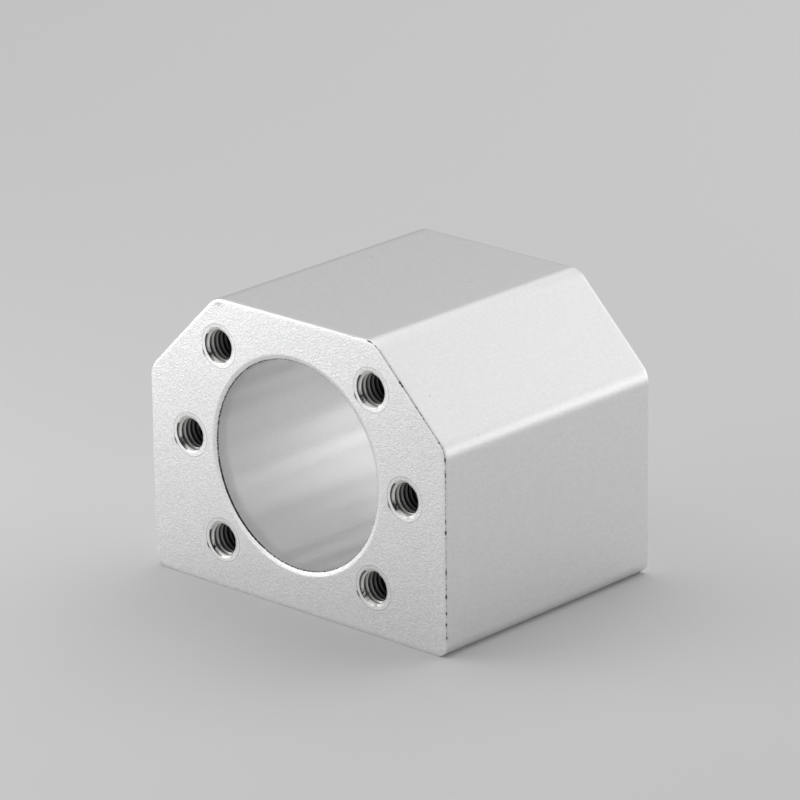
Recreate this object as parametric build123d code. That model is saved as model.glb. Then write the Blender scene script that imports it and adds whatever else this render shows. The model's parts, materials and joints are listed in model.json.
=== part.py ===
"""Nut housing of a ball screw: one aluminium block that carries the screw's nut over a machine table.

The block is a length of extruded bar with the section of a square house: a flat foot, upright
sides, a 45 degree shoulder at each top corner, and every corner of the section rounded.
A bore runs through it lengthwise for the barrel of the nut. The nut's flange seats on the front
end face, where tapped holes stand in two fans, one on each side of the bore. Four more tapped
holes in the foot hold the block down. All the holes are blind and end in a drill's cone.

Millimetres, +Z up. The bore lies along Y and the front face is the one at -Y.
The origin is the middle of the foot.
"""

import os
from math import radians, tan

from build123d import *

# Nut barrel
BORE_DIAMETER = 28.0
BORE_MOUTH_DEPTH = 0.5
BORE_MOUTH_ANGLE = 120.0

# Walls around the bore
FLOOR_WALL = 6.0
CROWN_WALL = 6.0

# Bar
LENGTH = 40.0
SHOULDER = 12.0
SHOULDER_ROUND = 3.5
FOOT_ROUND = 1.75
END_EDGE_BREAK = 0.2

# M5 tapped holes, drawn at the size of the tap's drill
TAP_DRILL_DIAMETER = 4.2
COUNTERSINK_DIAMETER = 6.0
COUNTERSINK_ANGLE = 160.0
DRILL_POINT_ANGLE = 118.0

# Flange screws, on a circle around the bore
BORE_TO_SCREW_CIRCLE = 5.0
SCREW_CIRCLE_TO_SIDE = 7.0
SCREW_FAN_STEP = 45.0
SCREWS_PER_FAN = 3
FLANGE_HOLE_DEPTH = 15.0

# Foot screws, at the corners of a rectangle
FOOT_SCREW_TO_SIDE = 6.0
FOOT_SCREW_TO_END = 8.0
FOOT_HOLE_DEPTH = 12.0

# Sizes that follow from those above
AXIS_HEIGHT = FLOOR_WALL + BORE_DIAMETER / 2
HEIGHT = AXIS_HEIGHT + BORE_DIAMETER / 2 + CROWN_WALL
SCREW_CIRCLE_DIAMETER = BORE_DIAMETER + 2 * BORE_TO_SCREW_CIRCLE
WIDTH = SCREW_CIRCLE_DIAMETER + 2 * SCREW_CIRCLE_TO_SIDE
FOOT_SCREW_SPACING_X = WIDTH - 2 * FOOT_SCREW_TO_SIDE
FOOT_SCREW_SPACING_Y = LENGTH - 2 * FOOT_SCREW_TO_END

# Each cutter starts this far outside the face that it cuts
OVERRUN = 1.0


def bar():
    """The extruded bar, with the sharp edges of its sawn ends broken."""
    side = WIDTH / 2
    crown = side - SHOULDER
    eaves = HEIGHT - SHOULDER
    outline = Polyline(
        (-side, 0),
        (side, 0),
        (side, eaves),
        (crown, HEIGHT),
        (-crown, HEIGHT),
        (-side, eaves),
        close=True,
    )
    section = make_face(outline)
    foot_corners = section.vertices().group_by(Axis.Y)[0]
    section = fillet(foot_corners, FOOT_ROUND)
    shoulder_corners = [corner for corner in section.vertices() if corner.Y > eaves / 2]
    section = fillet(shoulder_corners, SHOULDER_ROUND)
    solid = extrude(Plane.XZ * section, LENGTH / 2, both=True)
    ends = solid.faces().filter_by(Axis.Y)
    return chamfer(ends.edges(), END_EDGE_BREAK)


def bore():
    """The cutter for the nut's bore: a cylinder that flares at both mouths."""
    radius = BORE_DIAMETER / 2
    half = LENGTH / 2
    mouth_slope = tan(radians(BORE_MOUTH_ANGLE / 2))
    flare = (BORE_MOUTH_DEPTH + OVERRUN) * mouth_slope
    profile = Polyline(
        (0, -half - OVERRUN),
        (radius + flare, -half - OVERRUN),
        (radius, -half + BORE_MOUTH_DEPTH),
        (radius, half - BORE_MOUTH_DEPTH),
        (radius + flare, half + OVERRUN),
        (0, half + OVERRUN),
        close=True,
    )
    cutter = revolve(make_face(profile), Axis.Y)
    return Pos(0, 0, AXIS_HEIGHT) * cutter


def tapped_hole(depth):
    """The cutter for one blind hole. Its face is the plane z = 0 and it goes down from there."""
    drill = TAP_DRILL_DIAMETER / 2
    sink = COUNTERSINK_DIAMETER / 2
    sink_slope = tan(radians(COUNTERSINK_ANGLE / 2))
    point_slope = tan(radians(DRILL_POINT_ANGLE / 2))
    profile = Polyline(
        (0, OVERRUN),
        (sink + OVERRUN * sink_slope, OVERRUN),
        (drill, -(sink - drill) / sink_slope),
        (drill, -depth),
        (0, -depth - drill / point_slope),
        close=True,
    )
    return revolve(make_face(Plane.XZ * profile), Axis.Z)


def flange_holes():
    """The cutters for the flange screws: a fan of holes on each side of the bore."""
    front = Plane(origin=(0, -LENGTH / 2, AXIS_HEIGHT), x_dir=(1, 0, 0), z_dir=(0, -1, 0))
    cutter = tapped_hole(FLANGE_HOLE_DEPTH)
    first = -SCREW_FAN_STEP * (SCREWS_PER_FAN - 1) / 2
    angles = [
        middle + first + SCREW_FAN_STEP * index
        for middle in (0, 180)
        for index in range(SCREWS_PER_FAN)
    ]
    radius = SCREW_CIRCLE_DIAMETER / 2
    return [front * Rot(0, 0, angle) * Pos(radius, 0, 0) * cutter for angle in angles]


def foot_holes():
    """The cutters for the foot screws, which go up into the block from below."""
    foot = Plane(origin=(0, 0, 0), x_dir=(1, 0, 0), z_dir=(0, 0, -1))
    cutter = tapped_hole(FOOT_HOLE_DEPTH)
    places = GridLocations(FOOT_SCREW_SPACING_X, FOOT_SCREW_SPACING_Y, 2, 2)
    return [foot * place * cutter for place in places]


def nut_housing():
    """The whole block."""
    return bar() - [bore(), *flange_holes(), *foot_holes()]


os.makedirs("parts", exist_ok=True)
export_step(nut_housing(), "parts/nut_housing.step")
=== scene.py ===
"""The looks of a ball screw's nut housing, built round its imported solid.

The housing is one closed skin: the drawn bar with its rounded section, the two blasted end faces,
the bored wall, and ten drilled, countersunk and tapped holes with their true threads. Shapes are
worked out with numpy in millimetres and put into the mesh in metres. The main sizes are read from
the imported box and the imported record. X runs across the width, Z up, and the front face is at -Y.
"""

import json
import logging
from dataclasses import dataclass, field
from enum import Enum
from math import cos, pi, radians, sin, tan
from typing import Any, Optional

import bpy
import numpy as np
from mathutils import Matrix, Vector
from mathutils.geometry import delaunay_2d_cdt


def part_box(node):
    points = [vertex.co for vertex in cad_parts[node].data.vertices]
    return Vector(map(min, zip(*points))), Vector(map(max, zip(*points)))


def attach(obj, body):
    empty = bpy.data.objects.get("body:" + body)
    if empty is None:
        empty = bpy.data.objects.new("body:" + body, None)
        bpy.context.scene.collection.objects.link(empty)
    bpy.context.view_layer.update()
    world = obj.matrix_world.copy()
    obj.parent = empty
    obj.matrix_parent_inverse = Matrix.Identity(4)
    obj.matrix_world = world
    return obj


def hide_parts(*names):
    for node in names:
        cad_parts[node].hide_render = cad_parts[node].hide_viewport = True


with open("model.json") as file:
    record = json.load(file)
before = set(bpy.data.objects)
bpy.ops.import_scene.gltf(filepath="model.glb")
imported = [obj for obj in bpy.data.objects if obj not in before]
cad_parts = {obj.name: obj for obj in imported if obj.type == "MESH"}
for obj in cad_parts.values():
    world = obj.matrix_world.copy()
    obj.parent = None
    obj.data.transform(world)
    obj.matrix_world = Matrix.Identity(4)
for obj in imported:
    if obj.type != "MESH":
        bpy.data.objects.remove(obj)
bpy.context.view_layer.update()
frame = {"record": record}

LOG = logging.getLogger("nut_housing")
MM = 0.001
TURN = 2 * pi

Tree = bpy.types.NodeTree
Socket = bpy.types.NodeSocket
Pair = tuple[float, float]

RIGHT = np.array([1.0, 0.0, 0.0])
BACK = np.array([0.0, 1.0, 0.0])
UP = np.array([0.0, 0.0, 1.0])


class Finish(Enum):
    """The finishes of the block's surfaces. Each value is the finish's material slot in the mesh."""

    DRAWN_SKIN = 0
    BLASTED_END = 1
    BORED_WALL = 2
    TAPPED_WALL = 3
    BROKEN_EDGE = 4


class Shell:
    """One closed surface, gathered patch by patch.

    The patches share points by number, so the seams between them are closed.
    """

    # The triangulation's own number for keeping only what lies inside the outer rim
    INSIDE_ONLY = 1
    # Points closer than this, in millimetres, count as one in the triangulation
    WELD = 1e-7
    # How far the lattice stays from a rim, as a share of its spacing
    CLEARANCE = 0.7

    def __init__(self) -> None:
        """Starts with no points and no faces."""
        self.points = np.zeros((0, 3))
        self.marks = np.zeros(0)
        self.triangles = np.zeros((0, 3), int)
        self.finishes = np.zeros(0, int)

    def place(self, points: np.ndarray, mark: float | np.ndarray = 0.0) -> np.ndarray:
        """Adds points to the surface.

        Args:
            points: an array of any shape whose last axis is x, y, z in millimetres.
            mark: how dark the surface is marked there, from 0 to 1: by knocks on an edge, and by
                painted
            shade and dark reflection, as in a thread's grooves, in a shape that spreads over the
            points.

        Returns:
            The points' numbers, in an array of the same shape without the last axis.
        """
        shape = points.shape[:-1]
        numbers = np.arange(np.prod(shape, dtype=int)) + len(self.points)
        self.points = np.concatenate([self.points, points.reshape(-1, 3)])
        self.marks = np.concatenate([self.marks, np.broadcast_to(mark, shape).ravel()])
        return numbers.reshape(shape)

    def cover(self, numbers: np.ndarray, finish: Finish) -> None:
        """Covers a grid of points with two triangles a cell.

        The faces point along (down the rows) x (along the columns). A triangle that has lost a
        corner, because two of its points are one, is left out.

        Args:
            numbers: the grid's point numbers, rows by columns.
            finish: the finish of the patch.
        """
        here, below = numbers[:-1, :-1], numbers[1:, :-1]
        beside, across = numbers[:-1, 1:], numbers[1:, 1:]
        cells = np.stack([here, below, across, here, across, beside], axis=-1)
        self._add(cells.reshape(-1, 3), finish)

    def fill(
        self, outer: np.ndarray, holes: list[np.ndarray], across: np.ndarray, up: np.ndarray,
        finish: Finish, spacing: float = 1.2,
    ) -> None:
        """Fills a flat convex area around round holes, with even triangles between the rims.

        A square lattice of points is laid over the area, those outside it or near a rim are left
        out, and the rest is triangulated with the rims as fixed edges.

        Args:
            outer: the numbers of the points round the area.
            holes: the numbers of the points round each hole.
            across: the area's first axis.
            up: its second axis. across x up points out of the block.
            finish: the finish of the area.
            spacing: the lattice's spacing in millimetres.
        """
        rims = [outer, *holes]
        rim_numbers = np.concatenate(rims)
        axes = np.stack([across, up], axis=1)
        rim_places = self.points[rim_numbers] @ axes
        starts = np.cumsum([0] + [len(rim) for rim in rims])
        edges = np.concatenate(
            [start + np.stack([np.arange(len(rim)), np.roll(np.arange(len(rim)), -1)], 1)
             for start, rim in zip(starts, rims)]
        )
        loose_places = self._lattice(rim_places, starts, spacing)
        level = self.points[outer].mean(0) @ np.cross(across, up)
        loose_points = loose_places @ axes.T + level * np.cross(across, up)
        numbers = np.concatenate([rim_numbers, self.place(loose_points)])
        places = np.concatenate([rim_places, loose_places])
        _, _, faces, sources, _, _ = delaunay_2d_cdt(
            [Vector(place) for place in places.tolist()], edges.tolist(), [],
            self.INSIDE_ONLY, self.WELD,
        )
        corners = np.array(sources, int)[:, 0][np.array(faces, int)]
        rim_of = np.searchsorted(starts[1:], corners, side="right")
        in_hole = (rim_of[:, :1] == rim_of).all(1) & (rim_of[:, 0] > 0) & (rim_of[:, 0] < len(rims))
        corners = corners[~in_hole]
        a, b, c = (places[corners[:, k]] for k in range(3))
        turned = (b[:, 0] - a[:, 0]) * (c[:, 1] - a[:, 1]) < (b[:, 1] - a[:, 1]) * (c[:, 0] - a[:, 0])
        corners[turned] = corners[turned][:, ::-1]
        self._add(numbers[corners], finish)

    @staticmethod
    def _lattice(rims: np.ndarray, starts: np.ndarray, spacing: float) -> np.ndarray:
        """Lays a square lattice inside the outer rim, clear of all rims and outside the holes.

        Args:
            rims: the flat places of all the rims' points, the outer rim's first.
            starts: where each rim starts in that array, and its end.
            spacing: the lattice's spacing.

        Returns:
            The flat places of the lattice's points.
        """
        low, high = rims.min(0), rims.max(0)
        counts = np.ceil((high - low) / spacing).astype(int)
        lattice = np.stack(
            np.meshgrid(*[np.linspace(low[k], high[k], counts[k] + 1) for k in range(2)]), -1
        ).reshape(-1, 2)
        gaps = np.linalg.norm(lattice[:, None] - rims[None], axis=-1).min(1)
        keep = gaps > Shell.CLEARANCE * spacing
        outer = rims[: starts[1]]
        along = np.roll(outer, -1, 0) - outer
        side = np.cross(along[None], lattice[:, None] - outer[None])
        keep &= (side > 0).all(1) | (side < 0).all(1)
        for start, end in zip(starts[1:-1], starts[2:]):
            rim = rims[start:end]
            centre = rim.mean(0)
            radius = np.linalg.norm(rim[0] - centre)
            keep &= np.linalg.norm(lattice - centre, axis=1) > radius
        return lattice[keep]

    def _add(self, triangles: np.ndarray, finish: Finish) -> None:
        """Adds triangles of one finish, without those that have lost a corner.

        Args:
            triangles: three point numbers for each triangle.
            finish: their finish.
        """
        a, b, c = triangles.T
        whole = triangles[(a != b) & (b != c) & (c != a)]
        self.triangles = np.concatenate([self.triangles, whole])
        self.finishes = np.concatenate([self.finishes, np.full(len(whole), finish.value)])

    def mesh(self, name: str, crease: float) -> bpy.types.Mesh:
        """Puts the surface into a mesh, in metres.

        Args:
            name: the mesh's name.
            crease: the angle in degrees past which an edge is shaded as sharp.

        Returns:
            The mesh, smooth shaded, with the finishes as its material indices and the marks as an
            attribute.
        """
        mesh = bpy.data.meshes.new(name)
        mesh.from_pydata((self.points * MM).tolist(), [], self.triangles.tolist())
        mesh.polygons.foreach_set("material_index", self.finishes.astype(np.int32))
        marks = mesh.attributes.new("mark", "FLOAT", "POINT")
        marks.data.foreach_set("value", self.marks.astype(np.float32))
        mesh.shade_smooth()
        mesh.set_sharp_from_angle(angle=radians(crease))
        mesh.update()
        return mesh


def add_object(name: str, data: bpy.types.ID) -> bpy.types.Object:
    """Makes an object and puts it in the scene.

    Args:
        name: the object's name.
        data: its mesh, camera or lamp.

    Returns:
        The object.
    """
    made = bpy.data.objects.new(name, data)
    bpy.context.scene.collection.objects.link(made)
    return made


def closed(numbers: np.ndarray) -> np.ndarray:
    """Repeats a grid's first column after its last, so that the patch closes on itself."""
    return np.concatenate([numbers, numbers[:, :1]], axis=1)


def ring(
    centre: np.ndarray, across: np.ndarray, inward: np.ndarray, radius: float | np.ndarray,
    depth: float | np.ndarray, angles: np.ndarray,
) -> np.ndarray:
    """Works out points on circles round a hole's axis.

    A point is the centre, plus the depth along the axis, plus the radius along the direction that
    the angle gives, which turns by the right-hand rule about the axis.

    Args:
        centre: the middle of the hole's mouth.
        across: the direction of angle 0.
        inward: the axis, pointing into the block.
        radius: the radii, in a shape that spreads over the angles.
        depth: the depths, in a shape that spreads over the angles.
        angles: the angles in radians.

    Returns:
        The points, with x, y, z on the last axis.
    """
    radius, depth, angles = np.broadcast_arrays(radius, depth, angles)
    spoke = np.cos(angles)[..., None] * across + np.sin(angles)[..., None] * np.cross(inward, across)
    return centre + depth[..., None] * inward + radius[..., None] * spoke


def degrees_from(angles: np.ndarray, angle: float) -> np.ndarray:
    """Gives how far each column of a hole is from an angle.

    Args:
        angles: the columns' angles in radians, which turn clockwise as seen from outside.
        angle: the angle in degrees, anticlockwise from the right as seen from outside.

    Returns:
        The gap of each column in degrees, from 0 to 180.
    """
    return np.degrees(np.abs(np.angle(np.exp(1j * (angles + radians(angle))))))


def rounded_corner(
    before: Pair, corner: Pair, after: Pair, radius: float, steps: int
) -> np.ndarray:
    """Rounds the corner of a hole's profile of (radius, depth) pairs.

    The arc touches both sides: its points are its centre plus its radius along directions that turn
    evenly from square to the first side to square to the second.

    Args:
        before: a point of the profile before the corner.
        corner: the corner.
        after: a point of the profile after it.
        radius: the arc's radius.
        steps: how many steps the arc takes.

    Returns:
        The arc's points, one a row.
    """
    before, corner, after = (np.array(point, float) for point in (before, corner, after))
    first = (corner - before) / np.linalg.norm(corner - before)
    second = (after - corner) / np.linalg.norm(after - corner)
    turn = np.arctan2(first[0] * second[1] - first[1] * second[0], first @ second)
    reach = radius * tan(abs(turn) / 2)
    side = np.sign(turn) * np.array([-first[1], first[0]])
    centre = corner - reach * first + radius * side
    swing = np.linspace(0, turn, steps + 1)
    spoke = np.stack([
        -np.cos(swing) * side[0] + np.sin(swing) * side[1],
        -np.sin(swing) * side[0] - np.cos(swing) * side[1],
    ], 1)
    return centre + radius * spoke


@dataclass(frozen=True)
class BarSection:
    """The bar's section: a flat foot, upright sides, sloped shoulders and rounded corners.

    Its outline runs anticlockwise as seen from the front, from the right end of the foot's flat.
    Lengths are in millimetres.
    """

    width: float
    height: float
    shoulder: float = 12.0
    shoulder_round: float = 3.5
    foot_round: float = 1.75
    step: float = 0.3
    arc_steps: int = 12

    def outline(self) -> tuple[np.ndarray, np.ndarray, int]:
        """Traces the outline: each corner's arc, then the straight to the next arc.

        An arc's points are its centre plus its radius along the outward direction, which turns
        evenly from square to one side to square to the next.

        Returns:
            The points as (x, z), their outward directions, and how many of them come before the
            foot's flat starts.
        """
        side = self.width / 2
        crown = side - self.shoulder
        eaves = self.height - self.shoulder
        corners = np.array([
            (side, 0), (side, eaves), (crown, self.height),
            (-crown, self.height), (-side, eaves), (-side, 0),
        ])
        rounds = [self.foot_round, *[self.shoulder_round] * 4, self.foot_round]
        arcs, directions = [], []
        for corner, before, after, radius in zip(
            corners, np.roll(corners, 1, 0), np.roll(corners, -1, 0), rounds
        ):
            start = np.arctan2(*(corner - before)[::-1]) - pi / 2
            turn = (np.arctan2(*(after - corner)[::-1]) - pi / 2 - start) % TURN
            bisector = start + turn / 2
            centre = corner - radius / cos(turn / 2) * np.array([cos(bisector), sin(bisector)])
            swing = start + turn * np.linspace(0, 1, self.arc_steps + 1)
            outward = np.stack([np.cos(swing), np.sin(swing)], 1)
            arcs.append(centre + radius * outward)
            directions.append(outward)
        points, outwards = [], []
        for arc, outward, following in zip(arcs, directions, arcs[1:] + arcs[:1]):
            span = following[0] - arc[-1]
            count = max(2, round(np.linalg.norm(span) / self.step))
            share = np.arange(1, count)[:, None] / count
            points += [arc, arc[-1] + share * span]
            outwards += [outward, np.repeat(outward[-1:], count - 1, 0)]
        foot_start = sum(len(part) for part in points[:-1]) - 1
        return np.concatenate(points), np.concatenate(outwards), foot_start


@dataclass(frozen=True)
class EdgeWear:
    """How the sharp edge round a sawn end was broken: a small round whose size wanders.

    Lengths are in millimetres. The marks say how dark the edge and its nicks are: the edge is
    painted darker where it is exposed, as a dark reflection, and the nicks are real wear.
    """

    seed: int
    wander: float = 0.05
    wander_pitch: float = 2.7
    nick: float = 0.13
    nick_pitch: float = 0.36
    nick_share: float = 0.26
    least_exposure: float = 0.4
    dark_reflection_mark: float = 0.42
    nick_mark: float = 0.6

    def wandering(self, along: np.ndarray, pitch: float, rng: np.random.Generator) -> np.ndarray:
        """Draws a random line round the edge: heights at even knots, joined by straight runs.

        It ends at the height that it starts from.

        Args:
            along: distances along the edge in millimetres.
            pitch: the knots' spacing.
            rng: the source of the heights.

        Returns:
            A height from 0 to 1 for each distance.
        """
        knots = np.arange(0, along.max() + 2 * pitch, pitch)
        heights = rng.random(len(knots))
        heights[-2:] = heights[0]
        return np.interp(along, knots, heights)

    def sizes(
        self, along: np.ndarray, least: float, exposure: np.ndarray
    ) -> tuple[np.ndarray, np.ndarray]:
        """Works out the edge's round at each point.

        The round is the least round, plus a slow wander, plus nicks where a fast random line
        passes a limit. The nicks grow with the exposure.

        Args:
            along: distances along the edge in millimetres.
            least: the least round.
            exposure: how exposed the edge is there, from 0 to 1, which sets how readily it is nicked
            and how dark its painted reflection is.

        Returns:
            The round's radius and how marked it is, for each distance.
        """
        rng = np.random.default_rng(self.seed)
        slow = self.wandering(along, self.wander_pitch, rng)
        fast = self.wandering(along, self.nick_pitch, rng)
        limit = 1 - self.nick_share * (self.least_exposure + exposure)
        nicks = np.clip((fast - limit) / (1 - limit), 0, 1) * exposure
        radius = least + self.wander * slow + self.nick * nicks
        # Painted dark reflection where the edge is exposed, darker still at its real nicks
        mark = np.clip(self.dark_reflection_mark * exposure + self.nick_mark * nicks, 0, 1)
        return radius, mark


@dataclass(frozen=True)
class TappedHole:
    """A blind hole, drilled, countersunk and tapped with a right-hand thread.

    Lengths are in millimetres and angles in degrees. The start is where the thread begins, as a
    share of a turn.
    """

    mouth: np.ndarray
    inward: np.ndarray
    across: np.ndarray
    drill_radius: float
    depth: float
    thread_depth: float
    start: float
    columns: int
    seed: int
    margins: Pair = (0.3, 0.18)
    sink_radius: float = 3.0
    sink_angle: float = 171.0
    sink_to_thread: float = 0.05
    sink_support: float = 0.08
    rim_round: float = 2.0
    rim_steps: int = 3
    rim_shade: float = 0.85
    dash_mark: float = 0.9
    dash_angle: float = 208.0
    dash_reach: float = 11.0
    major_radius: float = 2.5
    pitch: float = 0.8
    lead_turns: float = 2.5
    snap: float = 0.03
    point_angle: float = 118.0
    lip_radius: float = 2.3
    lip_depth: float = 0.4
    lip_mark: float = 0.25
    # Painted shade: how dark the grooves are, and the depths past which the thread darkens
    groove_shade: float = 0.95
    clear_depth: float = 0.9
    bright_depth: float = 1.05
    # A dark ragged patch low on the left, near the thread's mouth
    dark_patch_angle: float = 220.0
    dark_patch_reach: float = 20.0
    dark_patch_depth: float = 1.0
    dark_patch_range: Pair = (0.2, 1.8)

    # Where a turn of the thread bends, as a share of the pitch, and how deep it is cut there
    TURN_SHARES = (0.0, 0.125, 0.25, 0.406, 0.5625, 0.625, 0.6875, 0.844)
    TURN_CUTS = (0.0, 0.0, 0.0, 0.5, 0.98, 1.0, 0.98, 0.5)

    def angles(self) -> np.ndarray:
        """Gives the angles of the hole's columns."""
        return np.arange(self.columns) * TURN / self.columns

    def circle(self, radius: float, depth: float) -> np.ndarray:
        """Gives the points of one circle round the hole's axis."""
        return ring(self.mouth, self.across, self.inward, radius, depth, self.angles())

    def nearness(self, angle: float, reach: float) -> np.ndarray:
        """Says how near each column is to an angle, which is counted as seen from outside.

        It is e to the power of minus the square of the gap between them over the reach.

        Args:
            angle: the angle in degrees.
            reach: the reach in degrees.

        Returns:
            A share from 0 to 1 for each column.
        """
        return np.exp(-((degrees_from(self.angles(), angle) / reach) ** 2))

    def build(self, shell: Shell) -> np.ndarray:
        """Adds the hole's wall to the block's surface.

        The profile is two circles on the face, the countersink's rounded rim, a circle that keeps
        the cone flat up to its foot, and the foot. The rim keeps a thin line of painted shade where it
        bends, with a darker dash low on its left, and the foot is a little darker.

        Args:
            shell: the block's surface.

        Returns:
            The numbers of the points round the hole, for the face that it is cut in.
        """
        slope = tan(radians(self.sink_angle / 2))
        sink_foot = self.major_radius + self.sink_to_thread
        sink_end = (self.sink_radius - sink_foot) / slope
        rim = rounded_corner(
            (self.sink_radius + 1, 0), (self.sink_radius, 0),
            (self.sink_radius - slope, 1), self.rim_round, self.rim_steps,
        )
        profile = np.concatenate([
            [(self.sink_radius + margin, 0) for margin in self.margins], rim,
            [(sink_foot + self.sink_support, sink_end - self.sink_support / slope)],
            [(sink_foot, sink_end)],
        ])
        rim_start = len(self.margins)
        dash = self.nearness(self.dash_angle, self.dash_reach)
        marks = np.zeros((len(profile), self.columns))
        marks[rim_start - 1 : rim_start + self.rim_steps] = self.dash_mark * dash
        # Painted shade: a thin dark line where the countersink's rim bends
        marks[rim_start + 1] = self.rim_shade + (1 - self.rim_shade) * dash
        marks[-1] = self.lip_mark
        circles = np.stack([self.circle(radius, depth) for radius, depth in profile])
        rows = shell.place(circles, marks)
        shell.cover(closed(rows), Finish.BLASTED_END)
        plain = self.thread(shell, rows[-1], sink_end)
        # Painted shade: the plain wall, the floor and the drill's point are fully dark
        floor = shell.place(self.circle(self.drill_radius, self.depth), 1.0)
        point_depth = self.depth + self.drill_radius / tan(radians(self.point_angle / 2))
        tip = shell.place(self.mouth + point_depth * self.inward, 1.0)
        shell.cover(closed(np.stack([plain, floor, np.full_like(floor, tip)])), Finish.TAPPED_WALL)
        return rows[0]

    def thread(self, shell: Shell, top: np.ndarray, top_depth: float) -> np.ndarray:
        """Adds the thread, from the countersink down to the plain drilled wall.

        Every row of the grid climbs with the thread, so its depth is the pitch times the turns so
        far plus the share of a turn that the angle adds, held between the countersink and the
        thread's end. The radius is the drill's plus the cut of that row, which fades out over the
        tap's lead, and nowhere less than the countersink's cone or the broken lip under it.

        The mark paints shade into the thread: it is 1 less the brightness, which is 1 less
        the groove's shade times the cube of the share of the full cut, all times e to the power of
        minus the depth past the clear depth over the bright depth. It is nowhere less than the ragged
        dark patch or the lip's darkening.
        The last column joins the first one turn further down.

        Args:
            shell: the block's surface.
            top: the numbers of the countersink's lowest circle.
            top_depth: that circle's depth.

        Returns:
            The numbers of the circle where the thread has ended.
        """
        angles = self.angles()
        steps = len(self.TURN_SHARES)
        first_turn = int(np.floor(top_depth / self.pitch)) - 2
        turns = int(np.ceil(self.thread_depth / self.pitch)) - first_turn + 2
        rows = (first_turn + np.arange(turns)[:, None] + np.array(self.TURN_SHARES)).ravel()
        cuts = np.tile(self.TURN_CUTS, turns)[:, None]
        depth = self.pitch * (rows[:, None] + self.start + angles / TURN)
        above = depth < top_depth + self.snap
        below = depth > self.thread_depth - self.snap
        depth = np.clip(depth, top_depth, self.thread_depth)
        fade = np.clip((self.thread_depth - depth) / (self.lead_turns * self.pitch), 0, 1)
        threaded = self.drill_radius + (self.major_radius - self.drill_radius) * cuts * fade
        down = depth - top_depth
        cone = self.sink_radius - depth * tan(radians(self.sink_angle / 2))
        lip = np.interp(down, [0, self.lip_depth], [self.lip_radius, self.drill_radius])
        opening = np.maximum(cone, lip)
        radius = np.maximum(threaded, opening)
        # Painted shade: the grooves are darker, and the whole thread darkens past the clear depth
        groove = np.where(threaded > opening, cuts * fade, 0) ** 3
        dimming = np.exp(-np.maximum(down - self.clear_depth, 0) / self.bright_depth)
        groove_and_depth_shade = 1 - (1 - self.groove_shade * groove) * dimming
        ragged = np.random.default_rng(self.seed).uniform(*self.dark_patch_range, depth.shape)
        near = self.nearness(self.dark_patch_angle, self.dark_patch_reach)
        dark_patch = ragged * near * np.exp(-down / self.dark_patch_depth)
        lip_darkening = np.interp(down, [0, self.lip_depth], [self.lip_mark, 0])
        mark = np.maximum.reduce([groove_and_depth_shade, np.minimum(dark_patch, 1), lip_darkening])
        points = ring(self.mouth, self.across, self.inward, radius, depth, angles)
        # Painted shade: the circle where the thread ends is fully dark
        bottom = shell.place(self.circle(self.drill_radius, self.thread_depth), 1.0)
        numbers = np.where(above, top, bottom)
        inside = ~(above | below)
        numbers[inside] = shell.place(points[inside], mark[inside])
        spiral = np.concatenate([numbers[:-steps], numbers[steps:, :1]], axis=1)
        shell.cover(spiral, Finish.TAPPED_WALL)
        return bottom


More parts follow.
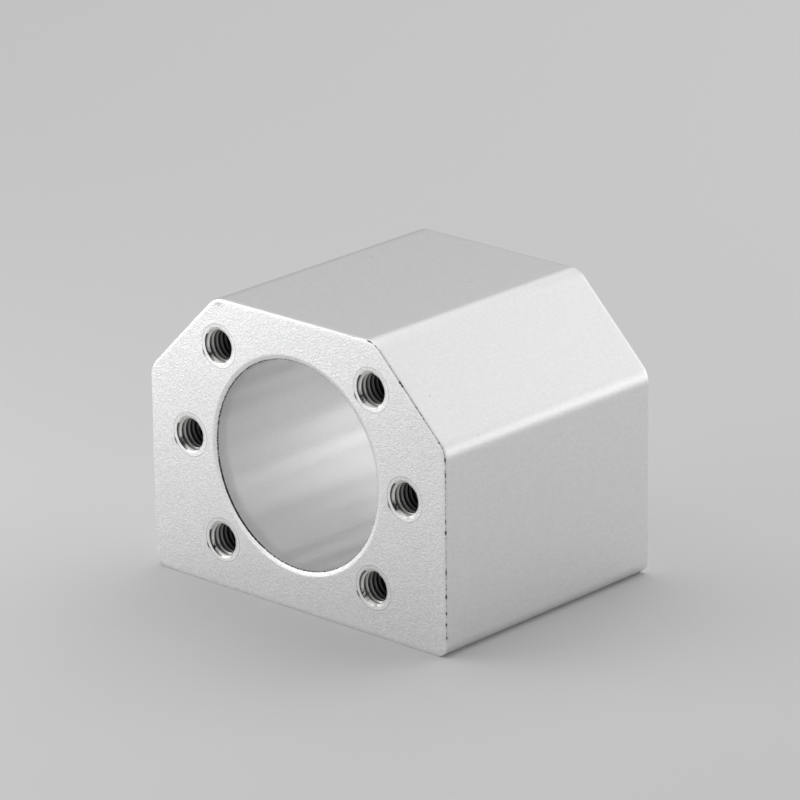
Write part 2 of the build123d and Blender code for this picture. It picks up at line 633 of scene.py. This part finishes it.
@dataclass(frozen=True)
class NutBore:
    """The bore for the nut's barrel.

    Blasting wore each mouth's chamfer flatter and rounder, and the wall behind it tapers a little.
    Lengths are in millimetres and angles in degrees.
    """

    centre_height: float
    radius: float
    length: float
    mouth_depth: float
    mouth_angle: float = 120.0
    margin: float = 0.35
    lip_round: float = 0.8
    edge_out: float = 0.2
    edge_depth: float = 0.18
    inner_round: float = 0.25
    corner_steps: int = 4
    taper_depth: float = 1.5
    wall_support: float = 0.6
    columns: int = 288
    seed: int = 3
    # Painted shade: the inner edge's dark line, and its darker ragged stretch
    edge_shade: float = 0.6
    ragged_shade: float = 1.1
    ragged_shade_angle: float = 216.0
    ragged_shade_reach: float = 24.0
    ragged_shade_core: float = 1.4
    ragged_shade_least: float = 0.25

    def build(self, shell: Shell) -> tuple[np.ndarray, np.ndarray]:
        """Adds the bore's wall to the block's surface, from the front mouth to the rear one.

        Each mouth is a circle on the face, the rounded lip, the rounded inner edge and the taper.
        The inner edge keeps a thin dark line of painted shade, darker and ragged near one angle of
        the front mouth.

        Args:
            shell: the block's surface.

        Returns:
            The numbers of the points round the front mouth and round the rear one.
        """
        mouth_radius = self.radius + self.mouth_depth * tan(radians(self.mouth_angle / 2))
        mouth = (mouth_radius, 0)
        edge = (self.radius + self.edge_out, self.edge_depth)
        foot = (self.radius, self.taper_depth)
        lip = rounded_corner((mouth_radius + 1, 0), mouth, edge, self.lip_round, self.corner_steps)
        inner = rounded_corner(mouth, edge, foot, self.inner_round, self.corner_steps)
        wall = [foot, (self.radius, self.taper_depth + self.wall_support)]
        front = np.concatenate([[(mouth_radius + self.margin, 0)], lip, inner, wall])
        rear = front[::-1] * (1, -1) + (0, self.length)
        profile = np.concatenate([front, rear])
        angles = np.arange(self.columns) * TURN / self.columns
        middle = np.array([0, -self.length / 2, self.centre_height])
        # Painted shade along the inner edges, darker and ragged low on the left of the front mouth
        gap = degrees_from(angles, self.ragged_shade_angle)
        ragged_shade_share = np.clip(self.ragged_shade_core - gap / self.ragged_shade_reach, 0, 1)
        ragged_shade_share *= np.random.default_rng(self.seed).uniform(self.ragged_shade_least, 1, self.columns)
        marks = np.zeros((len(profile), self.columns))
        start = len(lip) + 1
        end = len(front) - len(wall)
        last = len(profile) - 1
        marks[start + 1 : end] = self.edge_shade + (self.ragged_shade - self.edge_shade) * ragged_shade_share
        marks[last - end + 1 : last - start] = self.edge_shade
        points = ring(middle, RIGHT, BACK, profile[:, :1], profile[:, 1:], angles)
        rows = shell.place(points, marks)
        cuts = [0, start, end - 1, last - end + 1, last - start, last]
        mouth_finishes = [Finish.BLASTED_END, Finish.BROKEN_EDGE]
        finishes = [*mouth_finishes, Finish.BORED_WALL, *mouth_finishes[::-1]]
        for upper, lower, finish in zip(cuts, cuts[1:], finishes):
            shell.cover(closed(rows[upper : lower + 1]), finish)
        LOG.info("bore: %d rows, %d of them in each mouth", len(profile), end)
        return rows[0], rows[-1]


@dataclass
class NutHousing:
    """The whole block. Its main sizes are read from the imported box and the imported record's mounts.

    Lengths are in millimetres, angles in degrees and a thread's start in turns. A knock or a smudge
    is its x, z, reach and strength on the front face.
    """

    # The angles of the rows round a worn edge, and how strongly the edge's mark, its knocks and its
    # painted dark reflection, shows on each row there, from the row on the end face to the row on the
    # bar's skin
    ROUND_ANGLES = (0, 30, 60, 90)
    ROUND_MARKS = (0, 0.3, 1, 1, 0.2, 0)

    width: float
    height: float
    length: float
    bore_radius: float
    bore_wall: float
    axis_height: float
    drill_radius: float
    fan_radius: float
    foot_spacing: Pair
    fan_angles: tuple[float, ...] = (-45, 0, 45, 135, 180, 225)
    fan_depth: float = 15.0
    fan_thread_depth: float = 12.0
    fan_start_step: float = 0.02
    fan_columns: int = 72
    foot_depth: float = 12.0
    foot_thread_depth: float = 10.0
    foot_start_step: float = 0.29
    foot_columns: int = 40
    foot_seed: int = 10
    edge: float = 0.1
    margin: float = 0.6
    front_seed: int = 5
    rear_seed: int = 8
    # Wear and painted dark reflection on the edges: less at the rear and near the foot, more to the
    # right
    rear_wear_and_shade: float = 0.3
    foot_wear_and_shade: float = 0.4
    wear_and_shade_across: Pair = (9.0, 15.0)
    wear_and_shade_up: Pair = (1.6, 4.0)
    crown_band: float = 0.3
    knocks: tuple[tuple[float, ...], ...] = (
        (13.4, 39.9, 0.6, 1.0), (14.3, 39.6, 0.5, 0.7), (9.5, 40.0, 2.5, 0.4),
    )
    smudges: tuple[tuple[float, ...], ...] = ((-13.4, 39.7, 1.5, 0.7),)
    smudge_mark: float = 0.8
    crease: float = 38.0
    name: str = "nut_housing_block"

    @classmethod
    def from_frame(cls) -> "NutHousing":
        """Reads the block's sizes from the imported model.

        Returns:
            The block.
        """
        low, high = (np.array(corner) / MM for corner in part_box("nut_housing"))
        width, length, height = high - low
        mounts = {mount["name"]: mount for mount in frame["record"]["mounts"]}
        bore = mounts["nut_bore"]
        level = mounts["flange_screws_level"]["dims"]
        foot = mounts["foot_screws"]["dims"]
        return cls(
            width=width,
            height=height,
            length=length,
            bore_radius=bore["dims"]["r_mm"],
            bore_wall=bore["dims"]["length_mm"],
            axis_height=bore["pos_m"][2] / MM,
            drill_radius=level["hole_r_mm"],
            fan_radius=level["spacing_x_mm"] / 2,
            foot_spacing=(foot["spacing_x_mm"], foot["spacing_y_mm"]),
        )

    def build(self) -> bpy.types.Object:
        """Builds the block's surface and makes it one piece of the scene.

        Returns:
            The block's object.
        """
        shell = Shell()
        front_rim, rear_rim, foot_rim = self.bar(shell)
        mouth_depth = (self.length - self.bore_wall) / 2
        bore = NutBore(self.axis_height, self.bore_radius, self.length, mouth_depth)
        front_mouth, rear_mouth = bore.build(shell)
        fan = [hole.build(shell) for hole in self.flange_holes()]
        foot = [hole.build(shell) for hole in self.foot_holes()]
        shell.fill(front_rim, [front_mouth, *fan], RIGHT, UP, Finish.BLASTED_END)
        shell.fill(rear_rim, [rear_mouth], -RIGHT, UP, Finish.BLASTED_END)
        shell.fill(foot_rim, foot, RIGHT, -BACK, Finish.DRAWN_SKIN)
        block = add_object(self.name, shell.mesh(self.name, self.crease))
        LOG.info("%s: %d triangles", self.name, len(shell.triangles))
        return block

    def bar(self, shell: Shell) -> tuple[np.ndarray, np.ndarray, np.ndarray]:
        """Adds the bar's skin: the section's outline carried along Y, with a worn round at each end.

        The edges are worn on the right, and less near the foot, and painted darker there as a dark
        reflection. The front one is neither worn nor darkened on the crown but for its knocks.

        Args:
            shell: the block's surface.

        Returns:
            The numbers of the points round the front face, the rear face and the foot's flat.
        """
        outline, outward, foot_start = BarSection(self.width, self.height).outline()
        wear_and_shade = np.interp(outline[:, 0], self.wear_and_shade_across, (0, 1))
        wear_and_shade *= np.interp(outline[:, 1], self.wear_and_shade_up, (self.foot_wear_and_shade, 1))
        on_crown = outline[:, 1] > self.height - self.crown_band
        knocks = self.spots(outline, self.knocks)
        smudges = self.spots(outline, self.smudges)
        clean = np.zeros(len(outline))
        front_wear_and_shade = np.maximum(wear_and_shade * ~on_crown, knocks)
        ends = [
            self.worn_end(outline, outward, self.front_seed, front_wear_and_shade, knocks, smudges),
            self.worn_end(outline, outward, self.rear_seed, self.rear_wear_and_shade * wear_and_shade, clean, clean),
        ]
        front = shell.place(*ends[0])
        rear = shell.place(ends[1][0][::-1] * (1, -1, 1), ends[1][1])
        for rows, face, skin in ((front, slice(0, 2), slice(4, 6)), (rear, slice(4, 6), slice(0, 2))):
            shell.cover(closed(rows[face]), Finish.BLASTED_END)
            shell.cover(closed(rows[1:5]), Finish.BROKEN_EDGE)
            shell.cover(closed(rows[skin]), Finish.DRAWN_SKIN)
        between = np.stack([front[-1], rear[0]])
        shell.cover(between[:, : foot_start + 1], Finish.DRAWN_SKIN)
        flat_ends = closed(between)[:, foot_start:]
        foot_rim = np.concatenate([flat_ends[0], flat_ends[1, ::-1]])
        return front[0], rear[-1], foot_rim

    def worn_end(
        self, outline: np.ndarray, outward: np.ndarray, seed: int, exposure: np.ndarray,
        knocks: np.ndarray, smudges: np.ndarray,
    ) -> tuple[np.ndarray, np.ndarray]:
        """Works out one end of the bar's skin, as rows from the face over the edge's round inwards.

        The round's point at angle a is in from the outline by its radius times 1 - sin a, and in
        from the end face by its radius times 1 - cos a.

        Args:
            outline: the outline's points.
            outward: their outward directions.
            seed: the seed of the edge's wear.
            exposure: how exposed the edge is at each point, which sets its nicks and how dark its
            painted reflection is.
            knocks: how strongly single knocks mark it.
            smudges: how strongly smudges mark the face beside it.

        Returns:
            The points, placed for the front end, and how marked they are.
        """
        steps = np.linalg.norm(np.roll(outline, -1, 0) - outline, axis=1)
        along = np.concatenate([[0], np.cumsum(steps)[:-1]])
        radius, mark = EdgeWear(seed).sizes(along, self.edge, exposure)
        swing = np.radians(self.ROUND_ANGLES)[:, None]
        level = np.zeros((1, len(outline)))
        inset = np.concatenate([level + self.margin, radius * (1 - np.sin(swing)), level])
        depth = np.concatenate([level, radius * (1 - np.cos(swing)), level + self.margin])
        flat = outline - inset[..., None] * outward
        points = np.stack([flat[..., 0], depth - self.length / 2, flat[..., 1]], -1)
        marks = np.array(self.ROUND_MARKS)[:, None] * np.maximum(mark, knocks)
        marks[0] = self.smudge_mark * smudges
        return points, marks

    @staticmethod
    def spots(outline: np.ndarray, places: tuple[tuple[float, ...], ...]) -> np.ndarray:
        """Says how strongly each point of the outline is marked by the spots near it.

        A spot's strength falls as e to the power of minus the square of the gap over its reach.

        Args:
            outline: the outline's points.
            places: each spot's x, z, reach and strength.

        Returns:
            The greatest strength at each point, from 0 to 1.
        """
        strengths = [
            strength * np.exp(-((np.linalg.norm(outline - (x, z), axis=1) / reach) ** 2))
            for x, z, reach, strength in places
        ]
        return np.max(strengths, axis=0)

    def flange_holes(self) -> list[TappedHole]:
        """Lays out the flange screws' holes: two fans on one circle round the bore.

        Returns:
            The holes.
        """
        holes = []
        for index, angle in enumerate(self.fan_angles):
            spoke = cos(radians(angle)) * RIGHT + sin(radians(angle)) * UP
            mouth = self.axis_height * UP - self.length / 2 * BACK + self.fan_radius * spoke
            holes.append(TappedHole(
                mouth, BACK, RIGHT, self.drill_radius, self.fan_depth, self.fan_thread_depth,
                start=self.fan_start_step * (index + 1), columns=self.fan_columns, seed=index,
            ))
        return holes

    def foot_holes(self) -> list[TappedHole]:
        """Lays out the foot screws' holes, at the corners of a rectangle.

        Returns:
            The holes.
        """
        across, back = (spacing / 2 for spacing in self.foot_spacing)
        places = [(x * across, y * back, 0.0) for x in (-1, 1) for y in (-1, 1)]
        return [
            TappedHole(
                np.array(place), UP, RIGHT, self.drill_radius, self.foot_depth,
                self.foot_thread_depth, start=self.foot_start_step * index,
                columns=self.foot_columns, seed=self.foot_seed + index,
            )
            for index, place in enumerate(places)
        ]


def linear(colour: str, shade: float = 0.0) -> tuple[float, float, float, float]:
    """Turns an sRGB hex colour into the linear colour that the renderer works in.

    Args:
        colour: the colour as #RRGGBB.
        shade: the share of its light that is taken away.

    Returns:
        Red, green, blue and an alpha of 1.
    """
    shares = np.array([int(colour[k : k + 2], 16) for k in (1, 3, 5)]) / 255
    light = np.where(shares <= 0.04045, shares / 12.92, ((shares + 0.055) / 1.055) ** 2.4)
    return (*((1 - shade) * light).tolist(), 1.0)


def add_node(
    tree: Tree, kind: str, settings: Optional[dict[str, Any]] = None,
    values: Optional[dict[Any, Any]] = None, links: Optional[dict[Any, Optional[Socket]]] = None,
) -> bpy.types.Node:
    """Adds one shader node.

    Args:
        tree: the node tree.
        kind: the node's type.
        settings: the node's own settings.
        values: values for its input sockets, by name or number.
        links: what feeds its input sockets, by name or number. None feeds nothing.

    Returns:
        The node.
    """
    node = tree.nodes.new(kind)
    for name, value in (settings or {}).items():
        setattr(node, name, value)
    for socket, value in (values or {}).items():
        node.inputs[socket].default_value = value
    for socket, source in (links or {}).items():
        if source is not None:
            tree.links.new(source, node.inputs[socket])
    return node


def new_material(name: str) -> tuple[bpy.types.Material, Tree]:
    """Makes a material with an empty node tree.

    Args:
        name: the material's name.

    Returns:
        The material and its tree.
    """
    material = bpy.data.materials.new(name)
    material.use_nodes = True
    material.node_tree.nodes.clear()
    return material, material.node_tree


@dataclass(frozen=True)
class Grain:
    """A relief that a surface's making left on it: how long its marks are each way, and how deep.

    Lengths are in millimetres.
    """

    size: tuple[float, float, float]
    height: float
    detail: float = 2.0

    def add(self, tree: Tree, place: Socket, under: Optional[Socket]) -> tuple[Socket, Socket]:
        """Adds the relief's noise and its bump.

        Args:
            tree: the material's tree.
            place: the surface's object coordinates.
            under: the bumped normal that this relief lies on, if there is one.

        Returns:
            The relief's height, as a share, and the bumped normal.
        """
        scale = [1 / (size * MM) for size in self.size]
        stretched = add_node(
            tree, "ShaderNodeMapping", values={"Scale": scale}, links={"Vector": place}
        )
        noise = add_node(
            tree, "ShaderNodeTexNoise", values={"Scale": 1.0, "Detail": self.detail},
            links={"Vector": stretched.outputs["Vector"]},
        )
        bump = add_node(
            tree, "ShaderNodeBump", values={"Distance": self.height * MM},
            links={"Height": noise.outputs["Fac"], "Normal": under},
        )
        return noise.outputs["Fac"], bump.outputs["Normal"]


@dataclass(frozen=True, kw_only=True)
class Aluminium:
    """Bare aluminium, whose tone follows the grains that its making left.

    It is dimmed by the shade where the last grain lies low, and the dark colour comes through
    where the mesh is marked.
    """

    name: str
    colour: str
    roughness: float
    grains: tuple[Grain, ...] = ()
    shade: float = 0.0
    tone_range: Pair = (0.0, 1.0)
    dark_colour: Optional[str] = None

    def build(self) -> bpy.types.Material:
        """Makes the material.

        Returns:
            The material.
        """
        material, tree = new_material(self.name)
        place = add_node(tree, "ShaderNodeTexCoord").outputs["Object"]
        height, normal = None, None
        for grain in self.grains:
            height, normal = grain.add(tree, place, normal)
        lift = add_node(
            tree, "ShaderNodeMapRange",
            values={"From Min": self.tone_range[0], "From Max": self.tone_range[1]},
            links={"Value": height},
        )
        colour = add_node(
            tree, "ShaderNodeMix", {"data_type": "RGBA"},
            values={"A": linear(self.colour, self.shade), "B": linear(self.colour)},
            links={"Factor": lift.outputs["Result"]},
        )
        if self.dark_colour:
            mark = add_node(tree, "ShaderNodeAttribute", {"attribute_name": "mark"}).outputs["Fac"]
            colour = add_node(
                tree, "ShaderNodeMix", {"data_type": "RGBA"}, values={"B": linear(self.dark_colour)},
                links={"Factor": self.add_dark(tree, place, mark, height),
                       "A": colour.outputs["Result"]},
            )
        skin = add_node(
            tree, "ShaderNodeBsdfPrincipled",
            values={"Metallic": 1.0, "Roughness": self.roughness},
            links={"Base Color": colour.outputs["Result"], "Normal": normal},
        )
        add_node(tree, "ShaderNodeOutputMaterial", links={"Surface": skin.outputs["BSDF"]})
        return material

    def add_dark(self, tree: Tree, place: Socket, mark: Socket, height: Optional[Socket]) -> Socket:
        """Adds the share of the dark colour. Here it is the mesh's mark.

        Args:
            tree: the material's tree, not used here.
            place: the surface's object coordinates, not used here.
            mark: the mesh's mark.
            height: the height of the last grain, if there is one, not used here.

        Returns:
            The share.
        """
        return mark


@dataclass(frozen=True, kw_only=True)
class AnodisedAluminium(Aluminium):
    """Clear anodised aluminium, over a surface that was drawn or blasted.

    The oxide is clear and thin, so the eye sees the metal's own pale grey, softened by the relief
    under it. Small pits where the blasting missed are darker, and so is what the mesh marks, which
    includes painted shade round the holes' rims and a painted dark reflection along the bar's edges.
    """

    tone_range: Pair = (0.3, 0.7)
    dark_colour: str = "#6E6E6E"
    pit_spacing: float
    pit_radius: float
    pit_share: float
    pit_edge: Pair = (1.4, 0.5)
    mark_noise: float = 0.6
    mark_range: Pair = (0.5, 1.2)

    def add_dark(self, tree: Tree, place: Socket, mark: Socket, height: Optional[Socket]) -> Socket:
        """Adds the pits, and the mesh's mark made ragged by the grain.

        Args:
            tree: the material's tree.
            place: the surface's object coordinates.
            mark: the mesh's mark.
            height: the height of the last grain.

        Returns:
            The share of the dark colour.
        """
        cells = add_node(
            tree, "ShaderNodeTexVoronoi",
            values={"Scale": 1 / (self.pit_spacing * MM)}, links={"Vector": place},
        )
        outer, inner = (share * self.pit_radius / self.pit_spacing for share in self.pit_edge)
        near = add_node(
            tree, "ShaderNodeMapRange", {"interpolation_type": "SMOOTHSTEP"},
            values={"From Min": outer, "From Max": inner}, links={"Value": cells.outputs["Distance"]},
        )
        some = add_node(
            tree, "ShaderNodeMath", {"operation": "LESS_THAN"},
            values={1: self.pit_share}, links={0: cells.outputs["Color"]},
        )
        pit = add_node(
            tree, "ShaderNodeMath", {"operation": "MULTIPLY"},
            links={0: near.outputs["Result"], 1: some.outputs["Value"]},
        )
        shown = add_node(
            tree, "ShaderNodeMath", {"operation": "MULTIPLY_ADD"},
            values={1: self.mark_noise}, links={0: height, 2: mark},
        )
        marked = add_node(
            tree, "ShaderNodeMapRange", {"interpolation_type": "SMOOTHSTEP"},
            values={"From Min": self.mark_range[0], "From Max": self.mark_range[1]},
            links={"Value": shown.outputs["Value"]},
        )
        dark = add_node(
            tree, "ShaderNodeMath", {"operation": "MAXIMUM"},
            links={0: pit.outputs["Value"], 1: marked.outputs["Result"]},
        )
        return dark.outputs["Value"]


@dataclass(frozen=True, kw_only=True)
class WornEdge(Aluminium):
    """A broken edge: pale metal, with dark specks where the mesh is marked, by real knocks and by
    painted shade and a painted dark reflection along the edges.
    """

    speck_size: float = 0.25
    mark_weight: float = 0.8
    speck_range: Pair = (0.65, 1.15)

    def add_dark(self, tree: Tree, place: Socket, mark: Socket, height: Optional[Socket]) -> Socket:
        """Adds the specks. They are noise, and the mesh's mark says how much of it shows.

        Args:
            tree: the material's tree.
            place: the surface's object coordinates.
            mark: the mesh's mark.
            height: not used, as this finish has no grain.

        Returns:
            The share of the dark colour.
        """
        noise = add_node(
            tree, "ShaderNodeTexNoise",
            values={"Scale": 1 / (self.speck_size * MM), "Detail": 2.0}, links={"Vector": place},
        )
        shown = add_node(
            tree, "ShaderNodeMath", {"operation": "MULTIPLY_ADD"},
            values={1: self.mark_weight}, links={0: mark, 2: noise.outputs["Fac"]},
        )
        speck = add_node(
            tree, "ShaderNodeMapRange", {"interpolation_type": "SMOOTHSTEP"},
            values={"From Min": self.speck_range[0], "From Max": self.speck_range[1]},
            links={"Value": shown.outputs["Value"]},
        )
        return speck.outputs["Result"]


# The block's finishes, each under the slot that the mesh gives it
FINISHES = {
    # The die's lengthwise lines, 0.35 mm wide, give the bar's sides a soft sheen
    Finish.DRAWN_SKIN: AnodisedAluminium(
        name="drawn_skin_anodised_aluminium", colour="#F1F1F2", roughness=0.44,
        grains=(Grain((0.35, 9.0, 0.35), 0.008), Grain((0.3, 0.6, 0.3), 0.01)),
        shade=0.06, pit_spacing=1.2, pit_radius=0.08, pit_share=0.14,
    ),
    # Blasting leaves dents of about 0.1 mm, which break the light up into a dull, speckled grey.
    # They are drawn 0.24 mm wide, because finer ones would not show
    Finish.BLASTED_END: AnodisedAluminium(
        name="blasted_end_anodised_aluminium", colour="#F5F5F5", roughness=0.5,
        grains=(Grain((1.4, 1.0, 1.0), 0.015), Grain((0.24, 0.24, 0.22), 0.05)),
        shade=0.16, pit_spacing=0.9, pit_radius=0.13, pit_share=0.06,
    ),
    # Broad soft waves along the bore make its bands of light waver, and the tool's feed of 0.25 mm
    # a turn gives it fine rings
    Finish.BORED_WALL: Aluminium(
        name="bored_aluminium", colour="#F6F6F6", roughness=0.5, shade=0.1,
        grains=(
            Grain((7.0, 400.0, 7.0), 1.8, detail=1.0), Grain((400.0, 0.25, 400.0), 0.004),
            Grain((0.3, 0.3, 0.3), 0.012),
        ),
    ),
    # The tap's bright crests stand out against its grooves, which are painted dark as shade that
    # deepens down the hole, so each turn is seen apart
    Finish.TAPPED_WALL: Aluminium(
        name="tapped_aluminium", colour="#F4F4F2", dark_colour="#1E1E1E", roughness=0.5,
        grains=(Grain((0.3, 0.3, 0.3), 0.01),),
    ),
    # A pale line with dark specks sets the faces apart from each other. The specks stand for knocks,
    # and for painted shade along the bore's inner edges and a painted dark reflection along the
    # bar's right-hand edges
    Finish.BROKEN_EDGE: WornEdge(
        name="broken_edge_aluminium", colour="#F2F2F2", dark_colour="#3C3C3C", roughness=0.45,
    ),
}


def direction(azimuth: float, elevation: float) -> Vector:
    """Gives the direction from the block to something that stands round it.

    It is (sin a cos e, -cos a cos e, sin e) for the azimuth a and the elevation e.

    Args:
        azimuth: the angle in degrees from straight in front, towards the right.
        elevation: the angle in degrees above the level.

    Returns:
        A vector of length 1.
    """
    turn, rise = radians(azimuth), radians(elevation)
    return Vector((sin(turn) * cos(rise), -cos(turn) * cos(rise), sin(rise)))


@dataclass(frozen=True)
class PhotoCamera:
    """The photograph's camera, worked out from the block's edges for a frame of 800 by 800 pixels.

    Lengths are in millimetres and angles in degrees, as for direction().
    """

    frame_pixels: float = 800.0
    focal_pixels: float = 5337.0
    azimuth: float = 42.461
    elevation: float = 19.197
    roll: float = -0.619
    distance: float = 703.0
    aim_height: float = 20.0
    aim_pixel: Pair = (399.707, 427.08)
    sensor: float = 36.0
    nearest: float = 10.0
    farthest: float = 20000.0

    def place(self) -> bpy.types.Object:
        """Makes the camera and puts it where the block's middle falls on its pixel.

        The camera looks along the line from the azimuth and elevation. It is shifted sideways and
        up until the middle, which would fall on the frame's centre, falls on its pixel instead.

        Returns:
            The camera.
        """
        back = direction(self.azimuth, self.elevation)
        level_right = direction(self.azimuth + 90, 0)
        level_up = back.cross(level_right)
        roll = radians(self.roll)
        right = cos(roll) * level_right + sin(roll) * level_up
        up = -sin(roll) * level_right + cos(roll) * level_up
        per_pixel = self.distance / self.focal_pixels
        aside = (self.aim_pixel[0] - self.frame_pixels / 2) * per_pixel
        above = -(self.aim_pixel[1] - self.frame_pixels / 2) * per_pixel
        where = Vector((0, 0, self.aim_height)) + back * self.distance - right * aside - up * above
        data = bpy.data.cameras.new("photo_camera")
        data.sensor_width = self.sensor
        data.lens = self.focal_pixels / self.frame_pixels * self.sensor
        data.clip_start = self.nearest * MM
        data.clip_end = self.farthest * MM
        camera = add_object("photo_camera", data)
        turn = Matrix((right, up, back)).transposed().to_4x4()
        camera.matrix_world = Matrix.Translation(where * MM) @ turn
        bpy.context.scene.camera = camera
        return camera


@dataclass(frozen=True)
class SoftBox:
    """A soft lamp that faces the block. Lengths are in metres and angles in degrees."""

    name: str
    azimuth: float
    elevation: float
    distance: float
    width: float
    height: float
    watts: float
    aim_height: float = 0.02

    def place(self) -> bpy.types.Object:
        """Makes the lamp.

        Returns:
            The lamp.
        """
        back = direction(self.azimuth, self.elevation)
        data = bpy.data.lights.new(self.name, "AREA")
        data.shape = "RECTANGLE"
        data.size = self.width
        data.size_y = self.height
        data.energy = self.watts
        lamp = add_object(self.name, data)
        lamp.location = Vector((0, 0, self.aim_height)) + back * self.distance
        lamp.rotation_euler = (-back).to_track_quat("-Z", "Y").to_euler()
        lamp.visible_camera = False
        return lamp


@dataclass
class Studio:
    """The plain pale floor, the soft lamps and the even light of the room, in metres."""

    floor_size: float = 3.0
    floor_colour: str = "#D9D9D9"
    floor_roughness: float = 0.9
    room_colour: str = "#FFFFFF"
    room_strength: float = 0.28
    lamps: list[SoftBox] = field(default_factory=lambda: [
        SoftBox("top_lamp", -112, 72, 0.9, 1.4, 1.2, 5.1),
        SoftBox("face_lamp", -45, 9, 0.2, 0.15, 0.06, 0.115),
        SoftBox("front_lamp", 20, 9, 0.3, 0.2, 0.12, 0.05),
        SoftBox("side_lamp", 140, 9, 0.5, 0.35, 0.18, 0.26),
        SoftBox("shoulder_lamp", 155, 38, 0.5, 0.35, 0.25, 0.21),
        SoftBox("rear_lamp", 180, 12, 0.9, 1.0, 0.4, 1.6),
    ])

    def build(self) -> None:
        """Makes the floor, the lamps and the room's light."""
        half = self.floor_size / 2
        mesh = bpy.data.meshes.new("floor")
        corners = [(-half, -half, 0), (half, -half, 0), (half, half, 0), (-half, half, 0)]
        mesh.from_pydata(corners, [], [(0, 1, 2, 3)])
        floor = add_object("floor", mesh)
        material, tree = new_material("floor_paper")
        paper = add_node(
            tree, "ShaderNodeBsdfPrincipled",
            values={"Base Color": linear(self.floor_colour), "Roughness": self.floor_roughness},
        )
        add_node(tree, "ShaderNodeOutputMaterial", links={"Surface": paper.outputs["BSDF"]})
        mesh.materials.append(material)
        for lamp in self.lamps:
            lamp.place()
        world = bpy.data.worlds.new("room")
        world.use_nodes = True
        tree = world.node_tree
        tree.nodes.clear()
        light = add_node(
            tree, "ShaderNodeBackground",
            values={"Color": linear(self.room_colour), "Strength": self.room_strength},
        )
        add_node(tree, "ShaderNodeOutputWorld", links={"Surface": light.outputs["Background"]})
        bpy.context.scene.world = world


def main() -> None:
    """Builds the camera, the block with its finishes, and the studio."""
    logging.basicConfig(level=logging.INFO, format="%(name)s: %(message)s")
    bpy.context.scene.view_settings.view_transform = "Standard"
    PhotoCamera().place()
    block = NutHousing.from_frame().build()
    for finish in Finish:
        block.data.materials.append(FINISHES[finish].build())
        LOG.info("finish %s: %s", finish.value, FINISHES[finish].name)
    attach(block, "root")
    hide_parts("nut_housing")
    Studio().build()


if __name__ == "__main__":
    main()
